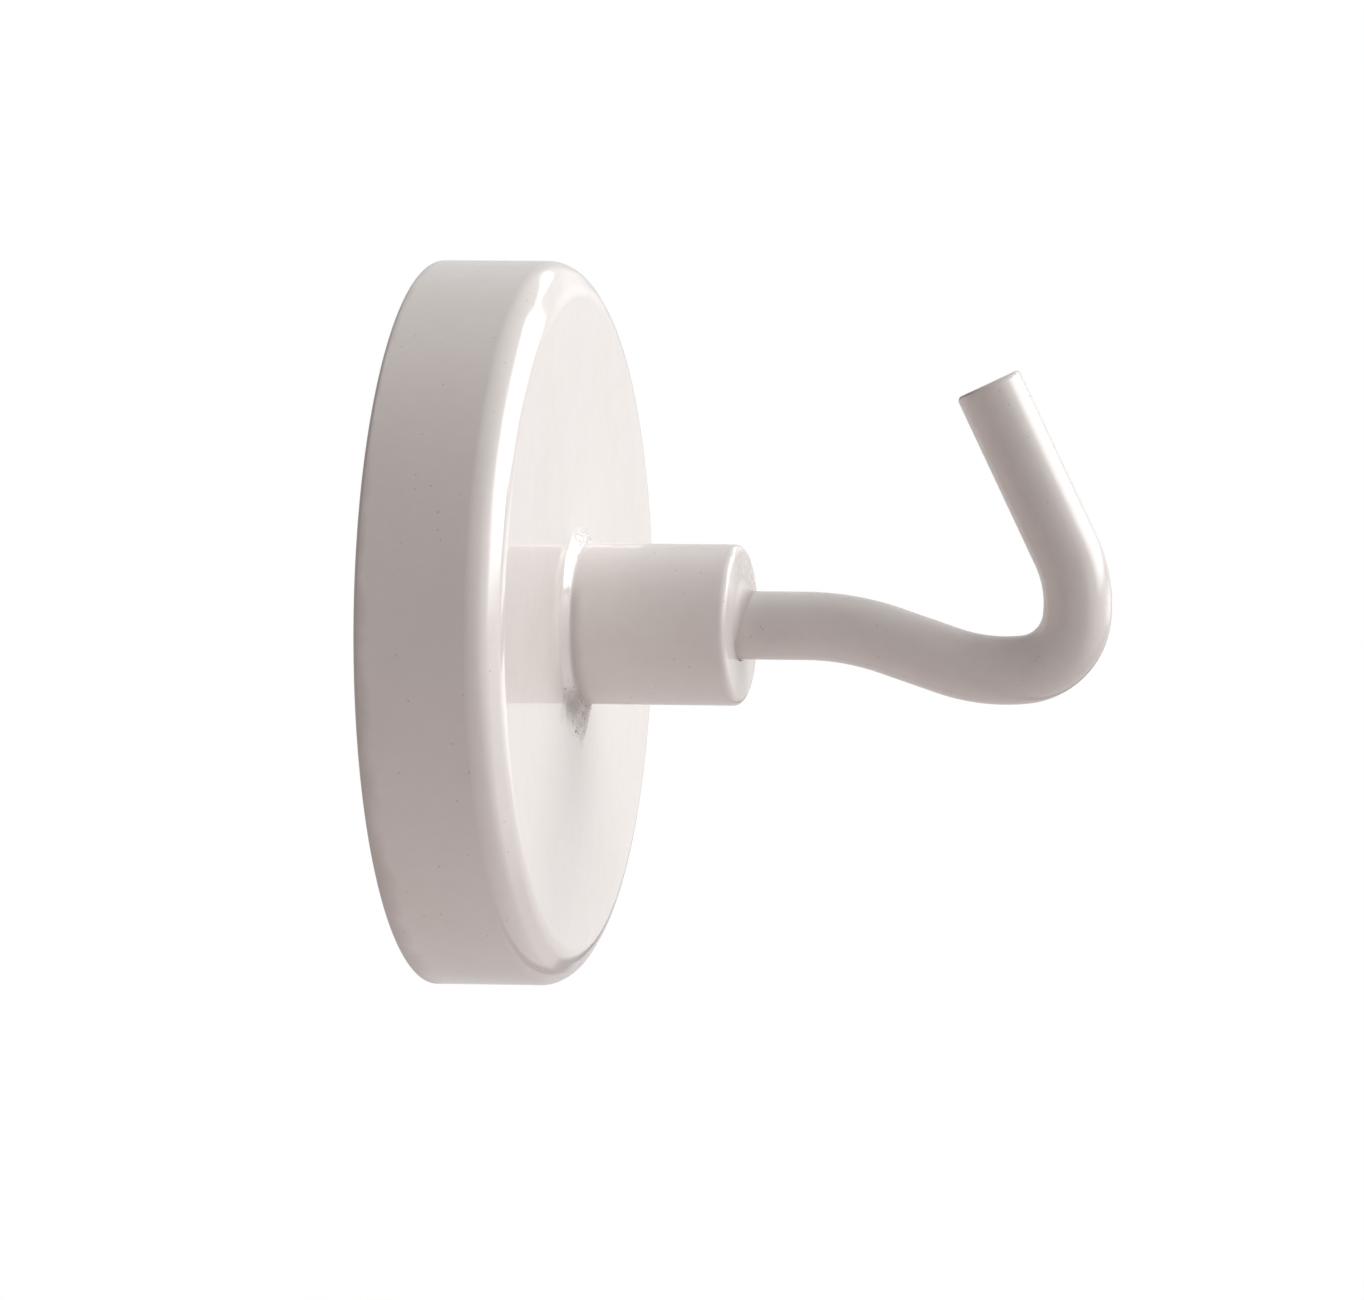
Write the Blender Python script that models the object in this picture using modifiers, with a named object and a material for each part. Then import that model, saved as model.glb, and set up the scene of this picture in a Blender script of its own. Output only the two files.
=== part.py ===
"""Magnetic hook: a lacquered steel pot magnet with a wire hook screwed into its threaded bush.

The wall is the plane Y = 0. The hook reaches out from it along -Y, and +Z is up.
The origin is the centre of the back, where the magnet meets the wall.

Each turned piece is drawn as an outline of two sizes, its radius and its distance out from the wall.
The outline is swept round the local Z axis, and the empty at the origin tips local +Z over to world -Y.
"""
from math import acos, ceil, cos, pi, radians, sin, tan

import bmesh
import bpy
from mathutils import Vector

MM = 0.001

# Pot: a round cup drawn from sheet steel, its floor at the front
POT_DIAMETER = 36.0 * MM
POT_HEIGHT = 7.25 * MM
POT_WALL = 1.6 * MM
POT_FLOOR = 1.5 * MM
POT_FRONT_ROUND = 1.8 * MM
POT_INSIDE_ROUND = 0.4 * MM
POT_RIM_ROUND = 0.25 * MM

# Bush: a turned boss in front of the pot, with a spigot swaged over inside the pot's floor
BOSS_DIAMETER = 8.0 * MM
BOSS_LENGTH = 8.25 * MM
BOSS_EDGE_ROUND = 0.35 * MM
BOSS_FOOT_ROUND = 0.6 * MM
BOSS_FOOT_EDGE = 0.15 * MM
SPIGOT_WALL = 0.8 * MM
SPIGOT_FLARE = 0.6 * MM
THREAD_CHAMFER = 0.25 * MM

# Magnet and the resin that holds it
RESIN_RING = 0.6 * MM
RESIN_FILM = 0.3 * MM
RESIN_RECESS = 0.4 * MM
MAGNET_EDGE = 0.3 * MM

# Hook: one round wire, bent in the upright plane through the bush's axis
WIRE_DIAMETER = 3.4 * MM
WIRE_END_ROUND = 0.25 * MM
SHANK_END_ROOM = 0.35 * MM
NECK_LENGTH = 3.3 * MM
DIP_RADIUS = 13.3 * MM
DIP_ANGLE = radians(18.5)
RAMP_LENGTH = 3.0 * MM
SEAT_RADIUS = 9.2 * MM
SEAT_ANGLE = radians(25)
CROOK_RADIUS = 3.0 * MM
CROOK_ANGLE = radians(75.5)
CROWN_RADIUS = 6.0 * MM
TIP_LEAN = radians(25)
TIP_LENGTH = 9.1 * MM

# Free space between pieces that touch or turn in each other, and the distance within which points are one
SEAT_GAP = 0.3 * MM
MERGE_DISTANCE = 0.001 * MM

# Smoothness of the round forms, the last of them how far a rounded corner's chords may cut inside its arc
POT_STEPS = 72
BUSH_STEPS = 48
WIRE_BEVEL_RESOLUTION = 10
WIRE_END_SEGMENTS = 2
BEND_STEP = radians(5)
CORNER_SAGITTA = 0.015 * MM

# Places that follow from the sizes, each a radius or a distance out from the wall
POT_RADIUS = POT_DIAMETER / 2
POT_INSIDE_RADIUS = POT_RADIUS - POT_WALL
POT_FLOOR_INSIDE = POT_HEIGHT - POT_FLOOR
WIRE_RADIUS = WIRE_DIAMETER / 2
BORE_RADIUS = WIRE_RADIUS + SEAT_GAP
SPIGOT_RADIUS = BORE_RADIUS + SPIGOT_WALL
BOSS_RADIUS = BOSS_DIAMETER / 2
BOSS_MOUTH = POT_HEIGHT + BOSS_LENGTH
SHANK_END = POT_FLOOR_INSIDE + SHANK_END_ROOM


def clear_scene():
    for leftover in list(bpy.data.objects):
        bpy.data.objects.remove(leftover, do_unlink=True)


def new_collection(name):
    collection = bpy.data.collections.new(name)
    bpy.context.scene.collection.children.link(collection)
    return collection


def new_object(name, data, collection, carrier):
    item = bpy.data.objects.new(name, data)
    collection.objects.link(item)
    item.parent = carrier
    return item


def corner_arc(before, corner, after, corner_radius):
    """Points of the arc that rounds one corner of an outline."""
    to_before = (before - corner).normalized()
    to_after = (after - corner).normalized()
    half_angle = to_before.angle(to_after) / 2
    centre = corner + (to_before + to_after).normalized() * (corner_radius / sin(half_angle))
    start = corner + to_before * (corner_radius / tan(half_angle)) - centre
    end = corner + to_after * (corner_radius / tan(half_angle)) - centre
    chord_limit = 2 * acos(1 - CORNER_SAGITTA / corner_radius)
    steps = ceil(start.angle(end) / chord_limit)
    chord_turn = -start.angle_signed(end) / steps
    arc = []
    for step in range(steps + 1):
        turn = chord_turn * step
        arc.append(centre + Vector((
            start.x * cos(turn) - start.y * sin(turn),
            start.x * sin(turn) + start.y * cos(turn),
        )))
    return arc


def rounded_outline(corners):
    """Outline points from corners of (radius, distance out, corner radius), in order round the section."""
    places = [Vector((radius, out)) for radius, out, _ in corners]
    points = []
    for index, (_, _, corner_radius) in enumerate(corners):
        if corner_radius > 0:
            after = places[(index + 1) % len(places)]
            points.extend(corner_arc(places[index - 1], places[index], after, corner_radius))
        else:
            points.append(places[index])
    return points


def turned_piece(name, corners, steps, material, collection, carrier):
    """Sweep an outline round the axis. It starts at the front and runs down its outer side to the back.

    An outline that starts on the axis ends there too. Any other outline closes into a ring.
    """
    points = rounded_outline(corners)
    section = bmesh.new()
    verts = [section.verts.new((point.x, 0, point.y)) for point in points]
    for first, second in zip(verts, verts[1:]):
        section.edges.new((first, second))
    if corners[0][0] > 0:
        section.edges.new((verts[-1], verts[0]))
    mesh = bpy.data.meshes.new(name)
    section.to_mesh(mesh)
    section.free()

    piece = new_object(name, mesh, collection, carrier)
    piece.data.materials.append(material)
    turn = piece.modifiers.new("Turn", 'SCREW')
    turn.axis = 'Z'
    turn.angle = 2 * pi
    turn.steps = steps
    turn.render_steps = steps
    turn.use_merge_vertices = True
    turn.merge_threshold = MERGE_DISTANCE
    turn.use_smooth_shade = True
    piece.modifiers.new("Flat faces stay flat", 'WEIGHTED_NORMAL')
    return piece


def bent_route(start, legs):
    """Centreline of a bent wire, from legs of (straight length, bend radius, bend angle).

    Points are (distance out, height). The wire sets off straight out, and a bend of positive angle turns up.
    """
    place = Vector(start)
    heading = 0
    points = [place.copy()]
    for straight, bend_radius, bend_angle in legs:
        if straight > 0:
            place = place + Vector((cos(heading), sin(heading))) * straight
            points.append(place)
        steps = ceil(abs(bend_angle) / BEND_STEP)
        for _ in range(steps):
            turn = bend_angle / steps
            chord = 2 * bend_radius * sin(abs(turn) / 2)
            middle = heading + turn / 2
            place = place + Vector((cos(middle), sin(middle))) * chord
            points.append(place)
            heading += turn
    return points


def wire_piece(name, route, radius, end_round, material, collection, carrier):
    """A round wire along a route of (distance out, height), its cut ends rounded at the edge."""
    path = bpy.data.curves.new(name + "_path", 'CURVE')
    path.dimensions = '3D'
    path.bevel_depth = radius
    path.bevel_resolution = WIRE_BEVEL_RESOLUTION
    path.use_fill_caps = True
    spline = path.splines.new('POLY')
    spline.points.add(len(route) - 1)
    for point, (out, height) in zip(spline.points, route):
        point.co = (0, height, out, 1)
    guide = new_object(name + "_path", path, collection, carrier)

    bpy.context.view_layer.update()
    evaluated = guide.evaluated_get(bpy.context.evaluated_depsgraph_get())
    mesh = bpy.data.meshes.new_from_object(evaluated)
    mesh.name = name
    solid = bmesh.new()
    solid.from_mesh(mesh)
    bmesh.ops.remove_doubles(solid, verts=solid.verts, dist=MERGE_DISTANCE)
    solid.to_mesh(mesh)
    solid.free()

    piece = new_object(name, mesh, collection, carrier)
    piece.matrix_world = guide.matrix_world
    bpy.data.objects.remove(guide)
    piece.data.materials.clear()
    piece.data.materials.append(material)
    piece.data.shade_smooth()
    ends = piece.modifiers.new("Rounded ends", 'BEVEL')
    ends.width = end_round
    ends.segments = WIRE_END_SEGMENTS
    ends.limit_method = 'ANGLE'
    ends.angle_limit = radians(60)
    piece.modifiers.new("Flat faces stay flat", 'WEIGHTED_NORMAL')
    return piece


def plain_material(name, colour, roughness, metallic=0.0, coat=0.0):
    material = bpy.data.materials.new(name)
    material.use_nodes = True
    shader = material.node_tree.nodes["Principled BSDF"]
    shader.inputs["Base Color"].default_value = (*colour, 1)
    shader.inputs["Roughness"].default_value = roughness
    shader.inputs["Metallic"].default_value = metallic
    shader.inputs["Coat Weight"].default_value = coat
    material.diffuse_color = (*colour, 1)
    return material


def white_lacquer(name):
    """Warm white stoving lacquer, glossy, over steel."""
    return plain_material(name, colour=(0.80, 0.76, 0.73), roughness=0.25, coat=0.5)


def ground_ferrite():
    return plain_material("ferrite", colour=(0.045, 0.045, 0.048), roughness=0.55, metallic=0.2)


def amber_resin():
    return plain_material("cured_resin", colour=(0.16, 0.11, 0.06), roughness=0.35)


def steel_cup(collection, carrier):
    """Drawn cup with a punched hole in its floor, countersunk inside for the bush's swaged spigot."""
    hole = SPIGOT_RADIUS + SEAT_GAP
    countersink = SPIGOT_FLARE + SEAT_GAP * tan(pi / 8)
    corners = [
        (hole, POT_HEIGHT, 0),
        (POT_RADIUS, POT_HEIGHT, POT_FRONT_ROUND),
        (POT_RADIUS, 0, POT_RIM_ROUND),
        (POT_INSIDE_RADIUS, 0, POT_RIM_ROUND),
        (POT_INSIDE_RADIUS, POT_FLOOR_INSIDE, POT_INSIDE_ROUND),
        (hole + countersink, POT_FLOOR_INSIDE, 0),
        (hole, POT_FLOOR_INSIDE + countersink, 0),
    ]
    return turned_piece("steel_cup", corners, POT_STEPS, white_lacquer("cup_lacquer"), collection, carrier)


def threaded_bush(collection, carrier):
    """Boss with a filleted foot on the pot's face, and a spigot through the floor, flared over inside."""
    shoulder = POT_HEIGHT + SEAT_GAP
    foot_top = shoulder + BOSS_FOOT_EDGE
    foot_radius = BOSS_RADIUS + BOSS_FOOT_ROUND + BOSS_FOOT_EDGE
    corners = [
        (BORE_RADIUS + THREAD_CHAMFER, BOSS_MOUTH, 0),
        (BOSS_RADIUS, BOSS_MOUTH, BOSS_EDGE_ROUND),
        (BOSS_RADIUS, foot_top, BOSS_FOOT_ROUND),
        (foot_radius, foot_top, 0),
        (foot_radius, shoulder, 0),
        (SPIGOT_RADIUS, shoulder, 0),
        (SPIGOT_RADIUS, POT_FLOOR_INSIDE + SPIGOT_FLARE, 0),
        (SPIGOT_RADIUS + SPIGOT_FLARE, POT_FLOOR_INSIDE, 0),
        (BORE_RADIUS + THREAD_CHAMFER, POT_FLOOR_INSIDE, 0),
        (BORE_RADIUS, POT_FLOOR_INSIDE + THREAD_CHAMFER, 0),
        (BORE_RADIUS, BOSS_MOUTH - THREAD_CHAMFER, 0),
    ]
    return turned_piece("threaded_bush", corners, BUSH_STEPS, white_lacquer("bush_lacquer"), collection, carrier)


def potting_resin(collection, carrier):
    """Film of cured resin over the pot's floor, with the ring that fills the gap round the magnet."""
    outside = POT_INSIDE_RADIUS - SEAT_GAP
    inside = outside - RESIN_RING
    film_front = POT_FLOOR_INSIDE - SEAT_GAP
    film_back = film_front - RESIN_FILM
    corners = [
        (0, film_front, 0),
        (outside, film_front, POT_INSIDE_ROUND),
        (outside, RESIN_RECESS, 0),
        (inside, RESIN_RECESS, 0),
        (inside, film_back, 0),
        (0, film_back, 0),
    ]
    return turned_piece("potting_resin", corners, POT_STEPS, amber_resin(), collection, carrier)


def ferrite_disc(collection, carrier):
    """Pressed magnet disc that fills the space left by the resin, its back flush with the pot's rim."""
    radius = POT_INSIDE_RADIUS - SEAT_GAP - RESIN_RING - SEAT_GAP
    front = POT_FLOOR_INSIDE - SEAT_GAP - RESIN_FILM - SEAT_GAP
    corners = [
        (0, front, 0),
        (radius, front, MAGNET_EDGE),
        (radius, 0, MAGNET_EDGE),
        (0, 0, 0),
    ]
    return turned_piece("ferrite_disc", corners, POT_STEPS, ground_ferrite(), collection, carrier)


def wire_hook(collection, carrier):
    """Shank in the bush, a dip below the axis, the crook that the load hangs in, and the leaning tip."""
    crown_angle = radians(90) + TIP_LEAN + DIP_ANGLE - SEAT_ANGLE - CROOK_ANGLE
    shank = BOSS_MOUTH - SHANK_END
    legs = [
        (shank + NECK_LENGTH, DIP_RADIUS, -DIP_ANGLE),
        (RAMP_LENGTH, SEAT_RADIUS, SEAT_ANGLE),
        (0, CROOK_RADIUS, CROOK_ANGLE),
        (0, CROWN_RADIUS, crown_angle),
        (TIP_LENGTH, 0, 0),
    ]
    route = bent_route((-shank, 0), legs)
    return wire_piece("wire_hook", route, WIRE_RADIUS, WIRE_END_ROUND, white_lacquer("hook_lacquer"),
                      collection, carrier)


def build():
    clear_scene()
    collection = new_collection("magnetic_hook")
    wall_centre = new_object("wall_centre", None, collection, None)
    wall_centre.rotation_euler = (radians(90), 0, 0)
    hook_axis = new_object("hook_axis", None, collection, wall_centre)
    hook_axis.location = (0, 0, BOSS_MOUTH)

    steel_cup(collection, wall_centre)
    threaded_bush(collection, wall_centre)
    potting_resin(collection, wall_centre)
    ferrite_disc(collection, wall_centre)
    wire_hook(collection, hook_axis)


build()
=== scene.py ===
import math
import random

import bmesh
import bpy
from mathutils import Matrix, Vector, noise
from mathutils.bvhtree import BVHTree


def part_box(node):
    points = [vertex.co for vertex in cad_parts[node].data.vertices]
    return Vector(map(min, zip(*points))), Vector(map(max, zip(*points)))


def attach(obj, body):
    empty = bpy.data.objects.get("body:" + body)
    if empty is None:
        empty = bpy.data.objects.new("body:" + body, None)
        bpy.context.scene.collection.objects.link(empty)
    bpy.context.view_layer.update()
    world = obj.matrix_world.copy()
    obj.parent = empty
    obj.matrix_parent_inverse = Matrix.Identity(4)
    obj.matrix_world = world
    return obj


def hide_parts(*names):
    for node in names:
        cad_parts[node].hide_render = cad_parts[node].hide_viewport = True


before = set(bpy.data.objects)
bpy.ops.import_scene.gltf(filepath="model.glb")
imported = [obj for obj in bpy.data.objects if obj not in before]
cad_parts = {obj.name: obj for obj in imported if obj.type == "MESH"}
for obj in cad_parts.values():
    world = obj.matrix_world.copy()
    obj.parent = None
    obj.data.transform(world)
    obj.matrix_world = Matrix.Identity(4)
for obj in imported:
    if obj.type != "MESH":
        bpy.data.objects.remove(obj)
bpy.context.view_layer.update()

mm = 0.001
weldDistance = 0.0002 * mm
xAxis, yAxis, zAxis = range(3)

potLow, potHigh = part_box("steel_cup")
bushLow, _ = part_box("threaded_bush")
magnetLow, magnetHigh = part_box("ferrite_disc")
potFront = -potLow.y      # how far out from the wall the pot's face is
bossMouth = -bushLow.y    # and the boss's front face


# camera: where the photograph was taken from, seen from the middle of the pot's back

cameraSet = {
    "azimuth": -77.146, "elevation": 6.3, "roll": -0.807,    # degrees
    "distance": 1.0, "seesTo": 20,                           # metres
    "slideRight": 12.1366 * mm, "slideUp": -1.3949 * mm,
    "lens": 530.4, "sensor": 36,                             # in millimetres, as Blender takes them
}


def addCamera(settings):
    azimuth = math.radians(settings["azimuth"])
    elevation = math.radians(settings["elevation"])
    back = Vector((
        math.sin(azimuth) * math.cos(elevation),
        -math.cos(azimuth) * math.cos(elevation),
        math.sin(elevation),
    ))
    level = Vector((0, 0, 1)).cross(back).normalized()
    roll = Matrix.Rotation(math.radians(settings["roll"]), 3, back)
    right = roll @ level
    up = back.cross(right)
    data = bpy.data.cameras.new("photoCamera")
    data.lens = settings["lens"]
    data.sensor_width = settings["sensor"]
    data.clip_end = settings["seesTo"]
    camera = bpy.data.objects.new("photoCamera", data)
    place = back * settings["distance"] + right * settings["slideRight"] + up * settings["slideUp"]
    turn = Matrix((right, up, back)).transposed().to_4x4()
    camera.matrix_world = Matrix.Translation(place) @ turn
    bpy.context.scene.collection.objects.link(camera)
    bpy.context.scene.camera = camera
    print("camera", [round(x, 4) for x in place])


# node shorthand for the materials

def newMaterial(name):
    material = bpy.data.materials.new(name)
    material.use_nodes = True
    nodes = material.node_tree.nodes
    shader = nodes["Principled BSDF"]
    return material, nodes, material.node_tree.links, shader


def objectNoise(nodes, links, scale, detail, stretch=(1, 1, 1)):
    place = nodes.new("ShaderNodeTexCoord")
    mapping = nodes.new("ShaderNodeMapping")
    mapping.inputs["Scale"].default_value = stretch
    links.new(place.outputs["Object"], mapping.inputs["Vector"])
    texture = nodes.new("ShaderNodeTexNoise")
    texture.inputs["Scale"].default_value = scale
    texture.inputs["Detail"].default_value = detail
    links.new(mapping.outputs["Vector"], texture.inputs["Vector"])
    return texture.outputs["Fac"]


def objectCells(nodes, links, scale):
    # cells round scattered points: the distance from the point, and a tone of each cell's own
    place = nodes.new("ShaderNodeTexCoord")
    texture = nodes.new("ShaderNodeTexVoronoi")
    texture.inputs["Scale"].default_value = scale
    links.new(place.outputs["Object"], texture.inputs["Vector"])
    return texture.outputs["Distance"], texture.outputs["Color"]


def spread(nodes, links, value, low, high, toLow=0.0, toHigh=1.0):
    # a value between low and high becomes one between toLow and toHigh
    node = nodes.new("ShaderNodeMapRange")
    node.interpolation_type = 'SMOOTHSTEP'
    node.inputs["From Min"].default_value = low
    node.inputs["From Max"].default_value = high
    node.inputs["To Min"].default_value = toLow
    node.inputs["To Max"].default_value = toHigh
    links.new(value, node.inputs["Value"])
    return node.outputs["Result"]


def cloudy(nodes, links, scale, detail, toLow=0.0, toHigh=1.0, low=0.3, high=0.7):
    # noise is mostly between low and high, and comes out between toLow and toHigh
    return spread(nodes, links, objectNoise(nodes, links, scale, detail), low, high, toLow, toHigh)


def blendColour(nodes, links, factor, first, second):
    node = nodes.new("ShaderNodeMix")
    node.data_type = 'RGBA'
    links.new(factor, node.inputs["Factor"])
    # inputs 6 and 7 are its A and B for colours
    for socket, colour in ((node.inputs[6], first), (node.inputs[7], second)):
        if isinstance(colour, tuple):
            socket.default_value = (*colour, 1)
        else:
            links.new(colour, socket)
    return node.outputs[2]


def blendValue(nodes, links, factor, first, second):
    node = nodes.new("ShaderNodeMix")
    links.new(factor, node.inputs["Factor"])
    # inputs 2 and 3 are its A and B for values
    for socket, value in ((node.inputs[2], first), (node.inputs[3], second)):
        if isinstance(value, (int, float)):
            socket.default_value = value
        else:
            links.new(value, socket)
    return node.outputs[0]


def maths(nodes, links, operation, first, second):
    node = nodes.new("ShaderNodeMath")
    node.operation = operation
    for socket, value in zip(node.inputs, (first, second)):
        if isinstance(value, (int, float)):
            socket.default_value = value
        else:
            links.new(value, socket)
    return node.outputs[0]


def multiply(nodes, links, first, *others):
    for other in others:
        first = maths(nodes, links, 'MULTIPLY', first, other)
    return first


def addBump(nodes, links, height, distance, under=None):
    # under is a bump that this one goes on top of
    node = nodes.new("ShaderNodeBump")
    node.inputs["Distance"].default_value = distance
    links.new(height, node.inputs["Height"])
    if under is not None:
        links.new(under, node.inputs["Normal"])
    return node.outputs["Normal"]


def farFrom(nodes, links, centre, reach):
    # how far from a point, as a share of the reach along each axis; no reach leaves an axis out
    place = nodes.new("ShaderNodeTexCoord")
    mapping = nodes.new("ShaderNodeMapping")
    scale = [1 / size if size else 0 for size in reach]
    mapping.inputs["Scale"].default_value = scale
    mapping.inputs["Location"].default_value = [-middle * share for middle, share in zip(centre, scale)]
    links.new(place.outputs["Object"], mapping.inputs["Vector"])
    length = nodes.new("ShaderNodeVectorMath")
    length.operation = 'LENGTH'
    links.new(mapping.outputs["Vector"], length.inputs[0])
    return length.outputs["Value"]


def alongLine(nodes, links, direction):
    # how far along a direction a point of the piece lies, from the origin
    place = nodes.new("ShaderNodeTexCoord")
    along = nodes.new("ShaderNodeVectorMath")
    along.operation = 'DOT_PRODUCT'
    along.inputs[1].default_value = direction
    links.new(place.outputs["Object"], along.inputs[0])
    return along.outputs["Value"]


def placeAlong(nodes, links, axis, kind="Object"):
    # how far along one of the three axes: across, towards the wall, or up
    place = nodes.new("ShaderNodeTexCoord")
    split = nodes.new("ShaderNodeSeparateXYZ")
    links.new(place.outputs[kind], split.inputs[0])
    return split.outputs[axis]


# the lacquer: one warm white stoving enamel over all the steel, with a little orange peel and dust in it

lacquerSet = {
    "colour": (0.807, 0.767, 0.745), "warmer": (0.779, 0.733, 0.707), "dust": (0.60, 0.54, 0.51),
    # the dark grey that follows serves for dirt and for painted shade, each piece's mask saying where
    "dirtAndShadeColour": (0.30, 0.26, 0.235), "steel": (0.38, 0.37, 0.36), "steelLight": (0.56, 0.55, 0.53),
    "roughness": 0.07, "roughnessWorn": 0.16, "wornScale": 260, "roughnessDirtAndShade": 0.5,
    "roughnessSteel": (0.44, 0.26),                   # where the steel is dark, and where it is light
    "peelScale": 900, "peelDepth": 0.006 * mm,        # orange peel, features near 1 mm
    "swellScale": 170, "swellDepth": 0.05 * mm,       # slow waves in the coat, near 6 mm
    "cloudScale": 240, "cloudShare": 0.5,             # its tone, in clouds of 4 mm
    "mottleScale": 1700, "mottleShare": 0.35,         # and in mottles of 0.6 mm
    "dustScale": 1500, "dustSize": (0.10, 0.05),      # specks, as shares of a cell of 0.7 mm
    "dustCells": (0.42, 0.56),                        # only cells with a tone above this have one
}

# the wire's lacquer: the same enamel given a darker colour, as painted shade
hookShadedLacquerSet = {**lacquerSet, "colour": (0.762, 0.721, 0.699), "warmer": (0.718, 0.675, 0.650)}
# the mouth's lacquer: the same enamel darker still, as painted shade in that hollow
mouthShadedLacquerSet = {
    **hookShadedLacquerSet, "colour": (0.66, 0.62, 0.60), "warmer": (0.62, 0.58, 0.56),
    "roughness": 0.42, "roughnessWorn": 0.55,
}

# what surface grinding left on the rim and the magnet, which were ground together: lines drawn out across
grindingSet = {
    "scale": 700, "detail": 3, "stretch": (0.06, 1, 5.5), "tones": (0.3, 0.7), "depth": 0.012 * mm,
}


def groundLines(nodes, links):
    return objectNoise(nodes, links, grindingSet["scale"], grindingSet["detail"], grindingSet["stretch"])


def makeLacquer(name, settings, dirtAndShadeAt, wornAt=None):
    # the mask after the settings gives this piece's dirt and painted shade, and wornAt the one for its bare
    # steel
    material, nodes, links, shader = newMaterial(name)
    cloud = cloudy(nodes, links, settings["cloudScale"], 5, 0.0, settings["cloudShare"], 0.35, 0.65)
    mottle = cloudy(nodes, links, settings["mottleScale"], 2, 0.0, settings["mottleShare"])
    tone = maths(nodes, links, 'ADD', cloud, mottle)
    colour = blendColour(nodes, links, tone, settings["colour"], settings["warmer"])
    grain, grainTone = objectCells(nodes, links, settings["dustScale"])
    rare = spread(nodes, links, grainTone, *settings["dustCells"])
    dust = multiply(nodes, links, spread(nodes, links, grain, *settings["dustSize"]), rare)
    colour = blendColour(nodes, links, dust, colour, settings["dust"])
    polish = cloudy(nodes, links, settings["wornScale"], 3,
                    settings["roughness"], settings["roughnessWorn"], 0.35, 0.75)
    waves = objectNoise(nodes, links, settings["swellScale"], 1)
    swell = addBump(nodes, links, waves, settings["swellDepth"])
    orangePeel = objectNoise(nodes, links, settings["peelScale"], 1)
    peel = addBump(nodes, links, orangePeel, settings["peelDepth"], under=swell)
    # dull grey dirt in the coat, and painted shade, as the piece's mask gives them
    dirtAndShade = dirtAndShadeAt(nodes, links)
    colour = blendColour(nodes, links, dirtAndShade, colour, settings["dirtAndShadeColour"])
    polish = blendValue(nodes, links, dirtAndShade, polish, settings["roughnessDirtAndShade"])
    if wornAt is not None:
        # bare ground steel where the coat has rubbed off
        bare = wornAt(nodes, links)
        lines = groundLines(nodes, links)
        sheen = spread(nodes, links, lines, *grindingSet["tones"])
        steel = blendColour(nodes, links, sheen, settings["steel"], settings["steelLight"])
        colour = blendColour(nodes, links, bare, colour, steel)
        steelPolish = spread(nodes, links, lines, *grindingSet["tones"], *settings["roughnessSteel"])
        polish = blendValue(nodes, links, bare, polish, steelPolish)
        peel = addBump(nodes, links, multiply(nodes, links, lines, bare), grindingSet["depth"], under=peel)
        links.new(bare, shader.inputs["Metallic"])
    links.new(colour, shader.inputs["Base Color"])
    links.new(polish, shader.inputs["Roughness"])
    links.new(peel, shader.inputs["Normal"])
    return material


# turned forms: a section in the XY plane, x the radius and y towards the wall, spun round the Y axis

def drawSection(points, closed):
    # each point is a radius and how far out from the wall it is
    bm = bmesh.new()
    verts = [bm.verts.new((radius, -out, 0)) for radius, out in points]
    for first, second in zip(verts, verts[1:]):
        bm.edges.new((first, second))
    if closed:
        bm.edges.new((verts[-1], verts[0]))
    return bm, verts


def roundCorner(bm, corner, radius, segments):
    first, second = [edge.other_vert(corner).co - corner.co for edge in corner.link_edges]
    reach = radius / math.tan(first.angle(second) / 2)
    bmesh.ops.bevel(bm, geom=[corner], offset=reach, offset_type='OFFSET', segments=segments,
                    profile=0.5, affect='VERTICES', material=-1)


def cutLongEdges(bm, longest, near=None):
    # near picks out the edges to cut by their middle; without it all are cut
    for edge in list(bm.edges):
        if near is not None and not near((edge.verts[0].co + edge.verts[1].co) / 2):
            continue
        cuts = math.ceil(edge.calc_length() / longest) - 1
        if cuts > 0:
            bmesh.ops.subdivide_edges(bm, edges=[edge], cuts=cuts)


def spinRound(bm, steps):
    bmesh.ops.spin(bm, geom=bm.verts[:] + bm.edges[:], cent=(0, 0, 0), axis=(0, 1, 0), dvec=(0, 0, 0),
                   angle=2 * math.pi, steps=steps, use_merge=True,
                   use_normal_flip=False, use_duplicate=False)
    bmesh.ops.remove_doubles(bm, verts=bm.verts, dist=weldDistance)
    bmesh.ops.recalc_face_normals(bm, faces=bm.faces)


def aroundAxis(place):
    # angle of a point round the bush's axis, zero straight down and positive towards the camera's side
    return math.atan2(-place.x, -place.z)


def finishPiece(bm, name, material, body, cadNodes=()):
    # cadNodes are the CAD's pieces that this one stands for
    mesh = bpy.data.meshes.new(name)
    bm.to_mesh(mesh)
    bm.free()
    mesh.shade_smooth()
    piece = bpy.data.objects.new(name, mesh)
    bpy.context.scene.collection.objects.link(piece)
    mesh.materials.append(material)
    piece.modifiers.new("flatFacesStayFlat", 'WEIGHTED_NORMAL')
    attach(piece, body)
    if cadNodes:
        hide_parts(*cadNodes)
    print(name, len(mesh.polygons), "faces")


# dust in the coat and painted shade round the boss's foot, partly on the pot and partly on the boss

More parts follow.
